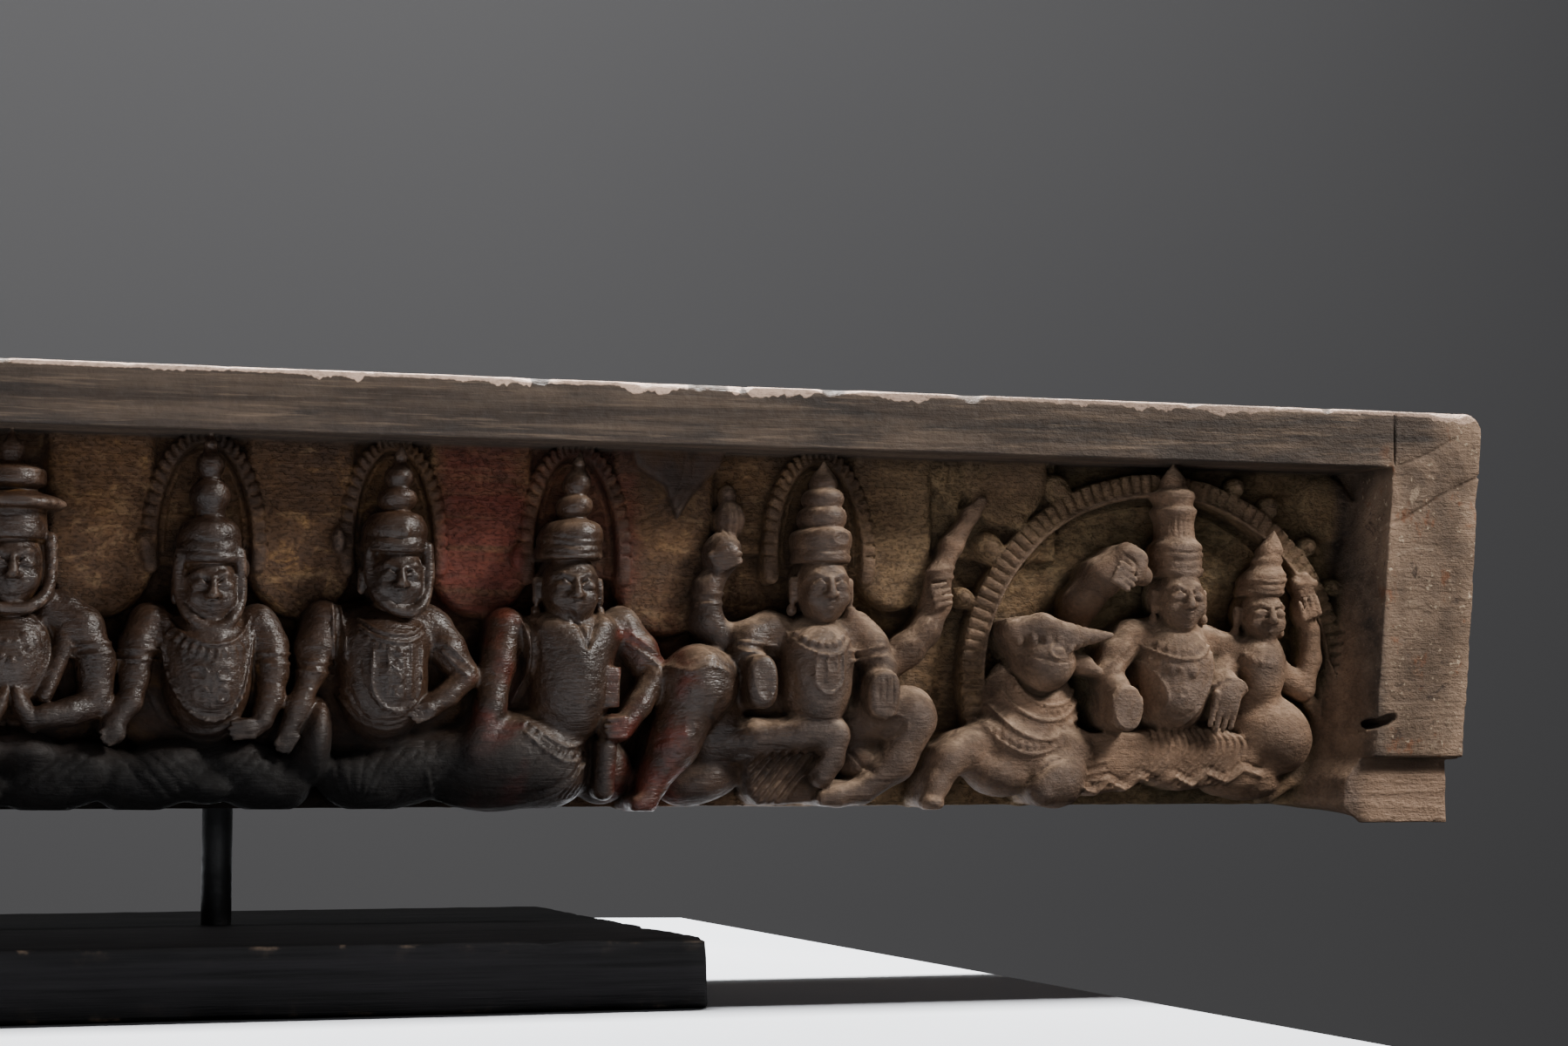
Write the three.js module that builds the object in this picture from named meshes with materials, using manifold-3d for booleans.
// A long carved lintel panel that stands on two steel rods and a black wooden base.
// Millimetres, +Z up. The origin is on the floor under the middle of the whole object.
// The front faces -Y. The panel, the base and each rod are separate solids.
import * as THREE from "three";
import { mergeVertices } from "three/addons/utils/BufferGeometryUtils.js";
import Module from "manifold-3d";

const wasm = await Module();
wasm.setup();

// Driving dimensions of the stand
const BASE = { length: 600, depth: 290, height: 28, edge: 2 };
const ROD = { radius: 6.5, spacing: 254, y: 17, sides: 16, inBase: 14, inPanel: 16 };
const FIT = 0.3;
const GAP_UNDER_PANEL = 50;

// Driving dimensions of the panel
const PANEL_FOOT = BASE.height + GAP_UNDER_PANEL;
const PANEL_HEIGHT = 184;
const BOARD = 46;
const RELIEF = 40;
const GROUND_Y = -5;
const RAIL_FOOT = 157.5;
const BELOW = 2;

// The end block of the right-hand side. The left one is its mirror image.
const BLOCK = {
  outerTop: 711.7, outerFoot: 699.6, shoulder: 173.8, corner: 9.5,
  innerTop: 664.2, innerFoot: 652.8, groundTop: 665.6, groundFoot: 617.2,
  step: 22.1, rebate: 6, tenonLeft: 641.7, tenonRight: 692.7, tenonFoot: -8.5,
};
const SHOULDER_DROP = 1.6;
const NOTCH = { run: 8.4, drop: 10 };
const TENON_BACK = 672;
const SLOT = { x: 657.5, y: 38.5, length: 12, height: 4, depth: 18, tilt: 0.37 };

// Every form of the carving is built in the relief's own frame, in which x runs along the
// panel from its middle, y is the height above the carving's lower edge and z stands out of
// the carved ground, up to RELIEF. A form's front is how far it stands out, and its back is
// sunk in the board, so no form is undercut.
const SUNK = -2;
const LIMB_SIDES = 6;

// How far a limb's section may widen at a sharp bend, as the least cosine that is used
const MITRE = 0.75;

// The left half of the carving is plainer: its forms have a side fewer, and it lacks some
const sidesAt = (x, sides) => (x > 0 ? sides : sides - 1);
const finer = (x, ...forms) => (x > 0 ? forms : []);

const points = (list) => list.map(([x, y]) => new THREE.Vector2(x, y));

const lathe = (profile, sides) =>
  new THREE.LatheGeometry(points(profile), sides);

// The rings of a low and of a full dome, as pairs of radius and height for a dome of size one
const FLAT_DOME = [[0.74, 0.84]];
const FULL_DOME = [[0.92, 0.46], [0.56, 0.92]];

// A dome on the ground, turned in the plane of the panel
function dome(x, y, front, rx, ry, turn = 0, sides = 6, crown = FLAT_DOME) {
  const profile = [[0, SUNK / front], [1, SUNK / front], ...crown, [0, 1]];
  const geometry = lathe(profile, sidesAt(x, sides));
  geometry.rotateX(Math.PI / 2).scale(rx, ry, front).rotateZ(turn).translate(x, y, 0);
  return geometry;
}

// A limb that lies on the ground and bends at its joints. A joint is [x, y, front, radius].
function limb(joints) {
  const at = joints.map(([x, y]) => new THREE.Vector2(x, y));
  const run = at.slice(1).map((p, i) => p.clone().sub(at[i]).normalize());
  const corners = [];
  const index = [];
  joints.forEach(([x, y, front, radius], i) => {
    const before = run[Math.max(i - 1, 0)];
    const after = run[Math.min(i, run.length - 1)];
    const along = before.clone().add(after).normalize();
    const wide = radius / Math.max(along.dot(before), MITRE);
    for (let k = 0; k < LIMB_SIDES; k += 1) {
      const a = 2 * Math.PI * k / LIMB_SIDES;
      corners.push([x + along.y * wide * Math.sin(a), y - along.x * wide * Math.sin(a),
        Math.max(front * Math.cos(a), SUNK)]);
    }
  });
  const last = joints.length - 1;
  const tip = (i, along) => [at[i].x + along.x * joints[i][3], at[i].y + along.y * joints[i][3], 0];
  corners.push(tip(0, run[0].clone().negate()), tip(last, run[last - 1]));
  const [start, end] = [corners.length - 2, corners.length - 1];
  for (let k = 0; k < LIMB_SIDES; k += 1) {
    const next = (k + 1) % LIMB_SIDES;
    index.push(start, next, k, end, last * LIMB_SIDES + k, last * LIMB_SIDES + next);
    for (let i = 0; i < last; i += 1) {
      const [p, q] = [i * LIMB_SIDES, (i + 1) * LIMB_SIDES];
      index.push(p + k, p + next, q + next, p + k, q + next, q + k);
    }
  }
  const geometry = new THREE.BufferGeometry();
  geometry.setAttribute("position", new THREE.Float32BufferAttribute(corners.flat(), 3));
  geometry.setIndex(index);
  return geometry;
}

// A turned form such as a crown, from pairs of radius and height that end at its tip
function turned(x, front, profile, sides = 6) {
  const widest = Math.max(...profile.map(([r]) => r));
  const closed = [[0, profile[0][1]], ...profile];
  const geometry = lathe(closed, sides);
  geometry.scale(1, 1, front / widest).translate(x, 0, 0);
  return geometry;
}

// A flat outline that stands out of the ground from one level to another
function plate(shape, back, front, curveSegments = 8) {
  const geometry = new THREE.ExtrudeGeometry(shape, {
    depth: front - back, bevelEnabled: false, curveSegments,
  });
  geometry.translate(0, 0, back);
  return geometry;
}

// A band between two arcs, as a halo or the ring of an arch
function archBand(x, y, rx, ry, width, from, to, front, segments) {
  const arc = (inset) => Array.from({ length: segments + 1 }, (_, i) => {
    const a = from + (to - from) * i / segments;
    return [x + (rx - inset) * Math.cos(a), y + (ry - inset) * Math.sin(a)];
  });
  const outline = points([...arc(0), ...arc(width).reverse()]);
  return plate(new THREE.Shape(outline), SUNK, front);
}

// A solid between two outlines of equal count, one at the front and one at the back
function loft(front, back, zFront, zBack) {
  const n = front.length;
  const faces = THREE.ShapeUtils.triangulateShape(front, []);
  const corners = [
    ...front.map((p) => [p.x, p.y, zFront]),
    ...back.map((p) => [p.x, p.y, zBack]),
  ];
  const index = [];
  for (const [a, b, c] of faces) index.push(a, b, c, a + n, c + n, b + n);
  for (let i = 0; i < n; i += 1) {
    const j = (i + 1) % n;
    index.push(i, i + n, j + n, i, j + n, j);
  }
  const geometry = new THREE.BufferGeometry();
  geometry.setAttribute("position", new THREE.Float32BufferAttribute(corners.flat(), 3));
  geometry.setIndex(index);
  return geometry;
}

// The closed solid that a geometry bounds, and the geometry that bounds a solid
function solid(geometry) {
  const bare = geometry.clone();
  bare.deleteAttribute("normal");
  bare.deleteAttribute("uv");
  const merged = mergeVertices(bare, 1e-4);
  return new wasm.Manifold(new wasm.Mesh({
    numProp: 3,
    vertProperties: new Float32Array(merged.attributes.position.array),
    triVerts: new Uint32Array(merged.index.array),
  }));
}

function geometryOf(body) {
  const mesh = body.getMesh();
  const geometry = new THREE.BufferGeometry();
  geometry.setAttribute("position", new THREE.BufferAttribute(mesh.vertProperties, 3));
  geometry.setIndex(new THREE.BufferAttribute(mesh.triVerts, 1));
  return geometry;
}

const join = (geometries) => geometries.map(solid).reduce((all, next) => all.add(next));

// The halo, the crown and the face that the seated figures share
const HALO = { rx: 21, band: 6.5, front: 7, past: 0.15, segments: 7 };

function head(x, chin, { rise, half, lean, crown }) {
  const brow = chin + rise;
  return [
    archBand(x + lean, brow - 2, HALO.rx, RAIL_FOOT + 1.5 - brow, HALO.band, -HALO.past,
      Math.PI + HALO.past, HALO.front, HALO.segments),
    turned(x, 34, crown.map(([r, h]) => [r, brow + h])),
    dome(x, chin + rise / 2, 36, half, rise / 2 + 3, 0, 8, FULL_DOME),
  ];
}

// The helmet with two bulbs and a finial above it, as pairs of radius and height over the brow
const bulbCrown = (height) => [
  [13.6, -4], [13.6, 4], [5.5, height * 0.32], [8.2, height * 0.46], [4, height * 0.62],
  [6.2, height * 0.72], [0, height],
];

// The shoulders, and the torso that stands out of them
function torso(x, neck, foot, half) {
  const middle = (neck + foot) / 2;
  const tall = (neck - foot) / 2;
  return [
    dome(x, neck - 10, 27, half * 1.4, 13),
    dome(x, middle, 39, half, tall + 2, 0, 8, FULL_DOME),
  ];
}

// Joined hands, a stacked parasol and a bearded face: the figure next to the middle
function parasolFigure(side) {
  const x = 35 * side;
  const forms = [
    turned(x, 34, [[24, 122], [24.5, 126], [9, 130], [16.5, 132], [16.5, 139],
      [7, 142], [8.5, 150], [0, 157]], 9),
    dome(x, 103, 36, 12.5, 19, 0, 7, FULL_DOME),
    dome(x, 92, 31, 16.5, 14),
    dome(x, 60, 33, 26, 26, 0, 7, FULL_DOME),
    dome(x, 41, 40, 8, 14),
  ];
  for (const hand of [-1, 1]) {
    const at = (dx, y, front, r) => [x + dx * hand, y, front, r];
    forms.push(limb([at(19, 80, 29, 10), at(31, 45, 31, 9), at(11, 36, 38, 6)]),
      dome(x + 20 * hand, 13, 33, 24, 14, 0.25 * hand));
  }
  return forms;
}

// A seated figure whose two arms and lap are given by its pose
function bust(side, pose) {
  const x = pose.x * side;
  const at = ([dx, y, front, r]) => [x + dx * side, y, front, r];
  return [
    ...head(x, pose.chin, {
      rise: pose.rise, half: 13.5, lean: pose.lean * side,
      crown: bulbCrown(RAIL_FOOT + 1 - pose.chin - pose.rise),
    }),
    ...torso(x + pose.shift * side, pose.neck, pose.foot, pose.half),
    limb(pose.inner.map(at)),
    limb(pose.outer.map(at)),
    ...pose.lap.map(([dx, y, front, rx, ry, turn]) =>
      dome(x + dx * side, y, front, rx, ry, turn * side)),
  ];
}

const SECOND = {
  x: 116, chin: 79, rise: 27, lean: -1, shift: 0, neck: 84, half: 18.5, foot: 33,
  inner: [[-23, 79, 26, 9], [-28, 59, 29, 7.6], [-43, 34, 31, 5]],
  outer: [[21, 79, 26, 9], [28, 58, 30, 7.6], [16, 33, 35, 5]],
  lap: [[-18, 14, 33, 24, 15, 0.4], [18, 14, 33, 24, 15, -0.4]],
};

const THIRD = {
  x: 195.5, chin: 84, rise: 26, lean: 2, shift: -3, neck: 86, half: 19.5, foot: 32,
  inner: [[-27, 79, 26, 9], [-33, 60, 30, 8], [-47, 30, 33, 5]],
  outer: [[14, 79, 25, 9], [31, 59, 29, 8], [13, 42, 33, 5]],
  lap: [[-28, 25, 37, 9, 19, -0.6], [4, 14, 33, 31, 14, 0.2]],
};

// The broad smooth figure whose skirt sweeps below the others
const FOURTH = {
  x: 272, chin: 80, rise: 27, lean: 4, shift: 1, neck: 82, half: 19, foot: 29,
  inner: [[-27, 78, 28, 9], [-29, 52, 31, 8.5], [-42, 21, 34, 5.5]],
  outer: [[25, 78, 23, 9], [40, 57, 27, 8.5], [19, 36, 37, 5.5]],
  lap: [[-24, 21, 38, 37, 22, 0.3], [14, 22, 27, 18, 19, 0.3]],
};

// The staff that the fourth figure holds
function staff(side) {
  const x = (FOURTH.x + 16) * side;
  return [limb([[x + side, 60, 34, 4.2], [x - side, 9, 34, 4.6]]), dome(x, 38, 37, 8, 10)];
}

// The four-armed figure that sits with one knee raised
function fourArmedFigure(side) {
  const x = 387 * side;
  const at = (px, y, front, r) => [px * side, y, front, r];
  const fan = new THREE.Shape(points([
    [352 * side, 22], [355 * side, 1], [372 * side, 3], [386 * side, 20],
  ]));
  return [
    ...head(x, 83, {
      rise: 26, half: 13, lean: 3 * side,
      crown: [[13.2, -4], [13.2, 9], [9.5, 11], [11.2, 19], [6, 22], [9.2, 29], [0, 49]],
    }),
    ...torso(x - 2 * side, 84, 30, 17),
    limb([at(364, 78, 25, 9), at(347, 70, 27, 7.5), at(355, 62, 36, 7.5), at(355, 50, 38, 7.5)]),
    limb([at(350, 72, 20, 8.5), at(336, 78, 22, 7.5), at(337, 104, 20, 6.5)]),
    dome(343 * side, 117, 22, 9, 13, -0.2 * side),
    ...finer(side, dome(348 * side, 134, 17, 4.5, 9)),
    limb([at(405, 78, 26, 8.6), at(412, 62, 30, 7), at(411, 55, 38, 8), at(411, 45, 38, 8)]),
    limb([at(418, 60, 21, 9), at(439, 80, 22, 7), at(445, 105, 20, 6), at(462, 136, 17, 3.2)]),
    limb([at(330, 58, 39, 16), at(328, 48, 38, 16.5), at(317, 24, 34, 11), at(304, 4, 33, 6)]),
    limb([at(338, 30, 27, 11), at(388, 31, 34, 9.5), at(386, 15, 33, 7)]),
    limb([at(400, 34, 27, 11), at(427, 41, 36, 11.5), at(421, 24, 35, 9), at(400, 8, 32, 5.5)]),
    ...finer(side, plate(fan, SUNK, 21)),
  ];
}

// The arch ring with its ribs and the scrolls outside it
const ARCH = { x: 556, y: 57, rx: 98, ry: 96.5, band: 11.5, front: 8.5, past: 0.22, segments: 18 };
const RIB = { count: 14, inset: 5, wide: 6.5, deep: 4 };
const SCROLLS = { turns: [0.42, 0.95, 2.12, 2.5], out: 5, radius: 9, front: 11 };

function arch(side) {
  const { x, y, rx, ry, band, front, past, segments } = ARCH;
  const on = (a, inset) => [x * side + (rx - inset) * Math.cos(a) * side,
    y + (ry - inset) * Math.sin(a)];
  const forms = [archBand(x * side, y, rx, ry, band, -past, Math.PI + past, front, segments)];
  for (let i = 0; i < RIB.count; i += 1) {
    const a = Math.PI * (i + 0.5) / RIB.count;
    const rib = new THREE.BoxGeometry(band - RIB.inset, RIB.wide, RIB.deep);
    rib.rotateZ(Math.atan2(ry * Math.sin(a), rx * Math.cos(a) * side));
    rib.translate(...on(a, band / 2), front);
    forms.push(...finer(side, rib));
  }
  for (const turn of SCROLLS.turns) {
    const scroll = dome(...on(turn, -SCROLLS.out), SCROLLS.front, SCROLLS.radius, SCROLLS.radius);
    forms.push(...finer(side, scroll));
  }
  return forms;
}

// The kneeling bull that looks out of the arch, with collars round its neck
const COLLARS = [3, 14];

function bull(side) {
  const at = (px, y, front, r) => [px * side, y, front, r];
  const forms = [
    dome(494 * side, 71, 39, 22, 16, -0.1 * side, 8, FULL_DOME),
    ...finer(side, dome(481 * side, 62, 40, 12, 12, 0.5 * side)),
    limb([at(503, 80, 34, 5.5), at(519, 77, 36, 1.6)]),
    limb([at(508, 66, 29, 4.5), at(517, 62, 31, 3)]),
    dome(494 * side, 42, 33, 27, 31, 0.1 * side, 8, FULL_DOME),
    limb([at(463, 27, 27, 11), at(446, 23, 32, 8.5), at(439, 6, 31, 5)]),
    dome(437 * side, 2.5, 37, 6.5, 4),
    limb([at(512, 26, 31, 13), at(496, 9, 37, 9)]),
    ...finer(side, dome(467 * side, 11, 36, 11, 9)),
  ];
  for (const drop of side > 0 ? COLLARS : COLLARS.slice(1)) {
    forms.push(archBand(494 * side, 60 - drop, 24 + drop * 0.3, 26 + drop * 0.2, 4,
      Math.PI + 0.3, 2 * Math.PI - 0.4, 37 - drop * 0.2, 5));
  }
  return forms;
}

// The main rider, a consort, the raised forearm and the pleated lap cloth
function riders(side) {
  const at = (px, y, front, r) => [px * side, y, front, r];
  const cloth = new THREE.Shape(points([
    [505, 30], [504, 6], [517, 3], [540, 10], [574, 7], [606, 18], [612, 34], [560, 40],
  ].map(([px, y]) => [px * side, y])));
  return [
    turned(560.5 * side, 31, [[12.5, 107], [12.5, 117], [8, 128], [9.8, 141], [6, 144],
      [6, 150], [0, 156]]),
    dome(562 * side, 97, 35, 11.5, 18, 0, 7, FULL_DOME),
    ...finer(side, dome(560 * side, 79, 27, 23, 10)),
    dome(557 * side, 58, 37, 20, 24, 0.1 * side, 8, FULL_DOME),
    limb([at(541, 77, 23, 8.5), at(524, 66, 25, 7), at(528, 52, 33, 5.5)]),
    dome(528 * side, 45, 38, 8, 12, -0.25 * side),
    limb([at(514, 86, 20, 7.5), at(532, 106, 33, 9.5)]),
    ...finer(side, dome(539 * side, 113, 33, 5.5, 6.5)),
    turned(606 * side, 26, [[11.5, 97], [11.5, 106], [6, 114], [6.5, 120], [0, 128]]),
    dome(605 * side, 92, 30, 11, 15.5, -0.15 * side, 7, FULL_DOME),
    dome(603 * side, 64, 31, 16, 20, -0.2 * side, 7, FULL_DOME),
    limb([at(588, 66, 24, 7), at(584, 56, 35, 7.5), at(581, 40, 32, 5)]),
    limb([at(613, 68, 17, 7), at(626, 56, 20, 6.5), at(634, 84, 17, 5)]),
    ...finer(side, dome(634 * side, 98, 20, 6.5, 12)),
    dome(613 * side, 33, 31, 20, 17, -0.5 * side, 7, FULL_DOME),
    ...finer(side, dome(596 * side, 12, 27, 16, 8, 0.2 * side)),
    ...finer(side, limb([at(640, 40, 12, 6), at(628, 20, 14, 6), at(606, 8, 15, 5)])),
    plate(cloth, SUNK, 24),
  ];
}

// The rounded slabs that hang from the rail between the figures
const SLABS = [
  { from: 62, to: 89, foot: 84, front: 11 }, { from: 140, to: 173, foot: 84, front: 11 },
  { from: 218, to: 251, foot: 85, front: 11 }, { from: 298, to: 334, foot: 75, front: 12 },
  { from: 418, to: 434, foot: 96, front: 10 }, { from: 464, to: 500, foot: 128, front: 12 },
];

function slab(side, { from, to, foot, front }) {
  const half = (to - from) / 2;
  const x = side * (from + half);
  const shape = new THREE.Shape();
  shape.moveTo(x - half, RAIL_FOOT + 1);
  shape.lineTo(x - half, foot + half);
  shape.absellipse(x, foot + half, half, half, Math.PI, 2 * Math.PI, false, 0);
  shape.lineTo(x + half, RAIL_FOOT + 1);
  return plate(shape, SUNK, front, 3);
}

// Half of the board's outline, from the middle of the foot to the middle of the top
function halfOutline() {
  const { outerTop, outerFoot, shoulder, corner, step, tenonRight } = BLOCK;
  const outline = [[0, 0], [tenonRight, 0], [tenonRight + 1, step - SHOULDER_DROP],
    [outerFoot, step]];
  const turns = 4;
  for (let i = 0; i <= turns; i += 1) {
    const a = Math.PI / 2 * i / turns;
    outline.push([outerTop - corner + corner * Math.cos(a),
      shoulder + (PANEL_HEIGHT - shoulder) * Math.sin(a)]);
  }
  outline.push([0, PANEL_HEIGHT]);
  return outline;
}

const mirrored = (outline, side) =>
  points(side > 0 ? outline : outline.map(([x, y]) => [-x, y]).reverse());

// The block at the panel's end, with a twisted chamfer on its inner side
function endBlock(side) {
  const { outerFoot, step, innerTop, innerFoot, groundTop, groundFoot } = BLOCK;
  const { tenonLeft, tenonRight, tenonFoot, rebate } = BLOCK;
  const outline = halfOutline();
  const outside = outline.slice(3, -1);
  const heel = outline[2];
  const chamfer = (y) => groundFoot + (groundTop - groundFoot) * y / RAIL_FOOT;
  const foot = (left) => [[left, 0], [tenonRight, tenonFoot], [tenonRight, 1], [left, 1]];
  const upperFront = [[innerFoot, step], ...outside, [groundTop, PANEL_HEIGHT],
    [innerTop, RAIL_FOOT]];
  const upperBack = [[chamfer(step), step], ...outside, [groundTop, PANEL_HEIGHT],
    [groundTop, RAIL_FOOT]];
  const notch = [innerFoot - NOTCH.run, step - NOTCH.drop];
  const lowerFront = [[tenonLeft, tenonFoot], [tenonRight, tenonFoot], heel, [outerFoot, step],
    [innerFoot, step], notch];
  const lowerBack = [[groundFoot, 0], [tenonRight, tenonFoot], heel, [outerFoot, step],
    [chamfer(step), step], [chamfer(notch[1]), notch[1]]];
  return [
    loft(mirrored(upperFront, side), mirrored(upperBack, side), RELIEF, SUNK),
    loft(mirrored(lowerFront, side), mirrored(lowerBack, side), RELIEF - rebate, SUNK),
    loft(mirrored(foot(groundFoot), side), mirrored(foot(TENON_BACK), side), 0, -BOARD),
  ];
}

// The board and the rail, as one length from end to end
function plainWork() {
  const right = halfOutline();
  const left = right.slice(1, -1).reverse().map(([x, y]) => [-x, y]);
  const outline = new THREE.Shape(points([...right.slice(1, -1), ...left]));
  const railLength = 2 * BLOCK.groundTop;
  const railHeight = PANEL_HEIGHT - RAIL_FOOT;
  const rail = new THREE.BoxGeometry(railLength, railHeight, RELIEF - SUNK);
  rail.translate(0, RAIL_FOOT + railHeight / 2, (RELIEF + SUNK) / 2);
  return [plate(outline, -BOARD, 0), rail];
}

// What is cut away from the panel: a slot by each inner edge and the two sockets of the rods
function cuts() {
  const forms = [-1, 1].map((side) => {
    const slot = new THREE.BoxGeometry(SLOT.length, SLOT.height, 2 * SLOT.depth);
    slot.rotateZ(SLOT.tilt * side);
    slot.translate(SLOT.x * side, SLOT.y, RELIEF);
    return slot;
  });
  for (const side of [-1, 1]) {
    const socket = new THREE.CylinderGeometry(ROD.radius + FIT, ROD.radius + FIT,
      2 * (ROD.inPanel + FIT), ROD.sides);
    socket.translate(side * ROD.spacing / 2, 0, GROUND_Y - ROD.y);
    forms.push(socket);
  }
  return forms;
}

function carvedPanel() {
  const sides = [-1, 1];
  const carving = sides.flatMap((side) => [
    ...parasolFigure(side),
    ...[SECOND, THIRD, FOURTH].flatMap((pose) => bust(side, pose)),
    ...staff(side),
    ...fourArmedFigure(side),
    ...arch(side),
    ...bull(side),
    ...riders(side),
    ...SLABS.map((row) => slab(side, row)),
  ]);
  // The figures come out of one beam, so none stands out past the rail or far below the edge
  const reach = new THREE.BoxGeometry(2 * BLOCK.groundTop, PANEL_HEIGHT + BELOW, RELIEF + BOARD);
  reach.translate(0, (PANEL_HEIGHT - BELOW) / 2, (RELIEF - BOARD) / 2);
  const figures = join(carving).intersect(solid(reach));
  const work = join([...plainWork(), ...sides.flatMap(endBlock)]);
  const whole = work.add(figures).subtract(join(cuts()));
  const geometry = geometryOf(whole);
  geometry.rotateX(Math.PI / 2).translate(0, GROUND_Y, PANEL_FOOT);
  return geometry;
}

// The base board has a small worn bevel round its top, and a socket for each rod
function standBase() {
  const { length, depth, height, edge } = BASE;
  const outline = (inset) => points([
    [inset - length / 2, inset - depth / 2], [length / 2 - inset, inset - depth / 2],
    [length / 2 - inset, depth / 2 - inset], [inset - length / 2, depth / 2 - inset],
  ]);
  const board = join([
    loft(outline(0), outline(0), height - edge, 0),
    loft(outline(edge), outline(0), height, height - edge),
  ]);
  const sockets = [-1, 1].map((side) => {
    const socket = new THREE.CylinderGeometry(ROD.radius + FIT, ROD.radius + FIT,
      2 * (ROD.inBase + FIT), ROD.sides);
    socket.rotateX(Math.PI / 2).translate(side * ROD.spacing / 2, ROD.y, height);
    return socket;
  });
  return geometryOf(board.subtract(join(sockets)));
}

function standRod() {
  const length = ROD.inBase + GAP_UNDER_PANEL + ROD.inPanel;
  const geometry = new THREE.CylinderGeometry(ROD.radius, ROD.radius, length, ROD.sides);
  geometry.rotateX(Math.PI / 2);
  return geometry;
}

const weatheredWood = new THREE.MeshStandardMaterial({
  name: "carved_wood", color: 0x594a3c, roughness: 0.75, metalness: 0,
});
const blackWood = new THREE.MeshStandardMaterial({
  name: "base_wood", color: 0x17171a, roughness: 0.7, metalness: 0,
});
const blackSteel = new THREE.MeshStandardMaterial({
  name: "rod_metal", color: 0x101012, roughness: 0.45, metalness: 0.6,
});

function piece(name, geometry, material, x = 0, y = 0, z = 0) {
  geometry.computeVertexNormals();
  const mesh = new THREE.Mesh(geometry, material);
  mesh.name = name;
  mesh.position.set(x, y, z);
  return mesh;
}

const rodMiddle = BASE.height - ROD.inBase + (ROD.inBase + GAP_UNDER_PANEL + ROD.inPanel) / 2;
const lintel = new THREE.Group();
lintel.add(
  piece("carved_panel", carvedPanel(), weatheredWood),
  piece("stand_base", standBase(), blackWood),
  piece("stand_rod_left", standRod(), blackSteel, -ROD.spacing / 2, ROD.y, rodMiddle),
  piece("stand_rod_right", standRod(), blackSteel, ROD.spacing / 2, ROD.y, rodMiddle),
);

export default lintel;
